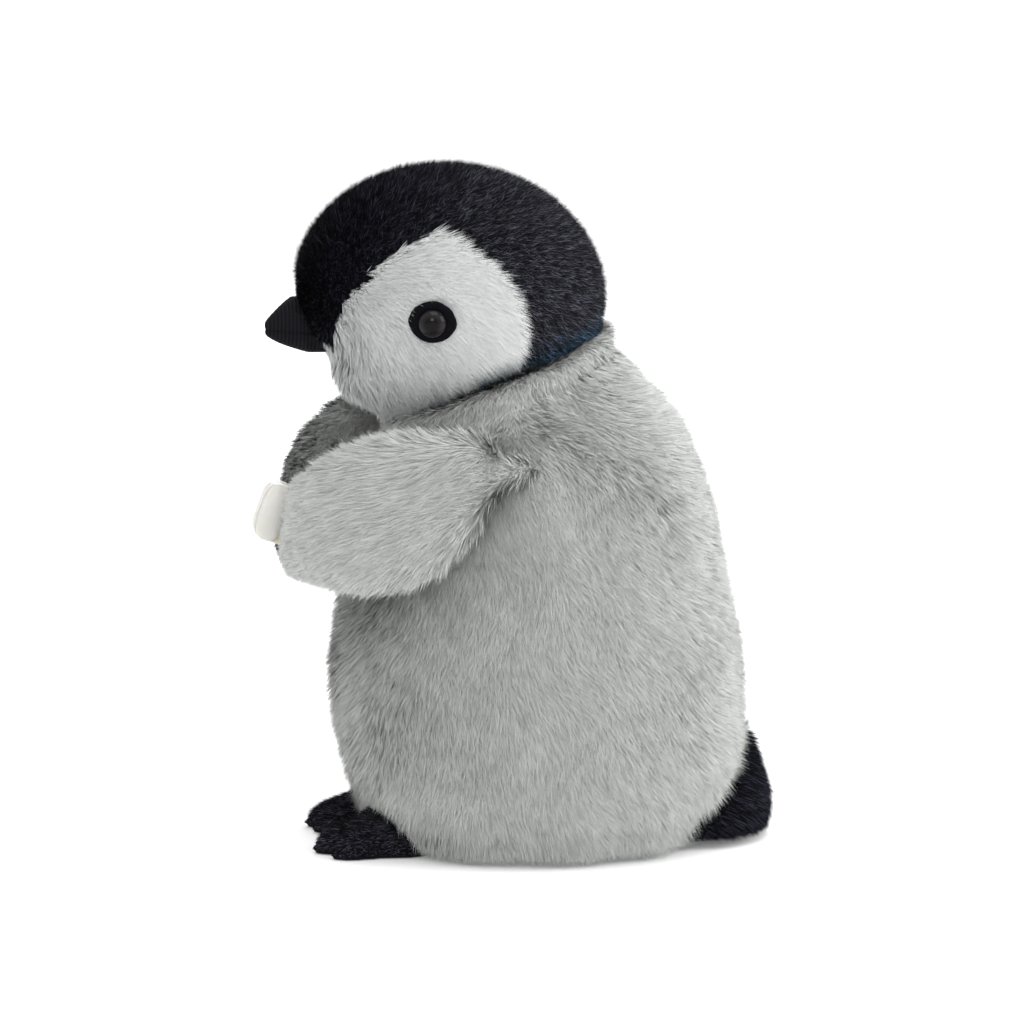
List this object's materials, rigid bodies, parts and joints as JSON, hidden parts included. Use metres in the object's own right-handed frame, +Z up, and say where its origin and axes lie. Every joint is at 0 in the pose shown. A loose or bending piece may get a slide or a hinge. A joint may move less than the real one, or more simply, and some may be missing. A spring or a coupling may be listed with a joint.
{
  "type": "plush penguin",
  "caption": "Standing plush penguin chick with long grey fur, black head cap, white cheeks and padded flippers that hug through a sprung plastic clip.",
  "frame": {"origin": "on the floor, under the middle of the body, midway between the flippers", "axes": "+Z up; the penguin looks along -Y; its left side is +X; the YZ plane is its plane of symmetry"},
  "size_m": [0.0958, 0.1103, 0.145],
  "materials": {
    "grey_plush": "long soft pile, light grey",
    "black_plush": "short dense pile, black",
    "white_plush": "short soft pile, white",
    "base_cloth": "brushed knit, light grey",
    "black_felt": "matt felt, black",
    "beak_knit": "fine ribbed knit, black",
    "stuffing": "loose polyester fibre, white",
    "pellet_bag": "plain woven bag of pellets",
    "milky_plastic": "translucent milky moulding, smooth",
    "washer_plastic": "natural moulded plastic",
    "eye_plastic": "polished domed lens, dark brown and black",
    "steel": "drawn wire, bright"
  },
  "bodies": {
    "torso": {"body_cover": "grey_plush", "base_panel": "base_cloth", "body_stuffing": "stuffing", "pellet_bag": "pellet_bag", "clip_pin": "steel", "clip_spring": "steel", "tail_cover": "black_plush", "tail_stuffing": "stuffing", "foot_upper_left": "black_plush", "foot_upper_right": "black_plush", "foot_sole_left": "black_felt", "foot_sole_right": "black_felt"},
    "flipper_left": {"flipper_cover_left": "grey_plush", "flipper_stuffing_left": "stuffing", "clip_lever_left": "milky_plastic"},
    "flipper_right": {"flipper_cover_right": "grey_plush", "flipper_stuffing_right": "stuffing", "clip_lever_right": "milky_plastic"},
    "head": {"head_cap": "black_plush", "cheek_left": "white_plush", "cheek_right": "white_plush", "head_stuffing": "stuffing", "eye_left": "eye_plastic", "eye_right": "eye_plastic", "eye_washer_left": "washer_plastic", "eye_washer_right": "washer_plastic", "eye_felt_left": "black_felt", "eye_felt_right": "black_felt", "beak_upper": "beak_knit", "beak_lower": "beak_knit", "beak_stuffing": "stuffing"}
  },
  "joints": [
    {"name": "flipper_left_open", "type": "hinge", "parent": "torso", "child": "flipper_left", "pos_m": [0, -0.001, 0.0705], "axis": [0, 0, 1], "range_deg": [0, 14], "stiffness_Nm_per_rad": 0.3, "springref_deg": -17.19, "deforming": ["clip_spring"]},
    {"name": "flipper_right_open", "type": "hinge", "parent": "torso", "child": "flipper_right", "pos_m": [0, -0.001, 0.0705], "axis": [0, 0, 1], "range_deg": [-14, 0], "stiffness_Nm_per_rad": 0.3, "springref_deg": 17.19, "deforming": ["clip_spring"]},
    {"name": "head_turn", "type": "hinge", "parent": "torso", "child": "head", "pos_m": [0, -0.01, 0.1006], "axis": [0, -0.3584, 0.9336], "range_deg": [-20, 20], "stiffness_Nm_per_rad": 0.12}
  ],
  "couplings": [
    {"joint": "flipper_right_open", "follows": "flipper_left_open", "ratio": -1}
  ]
}
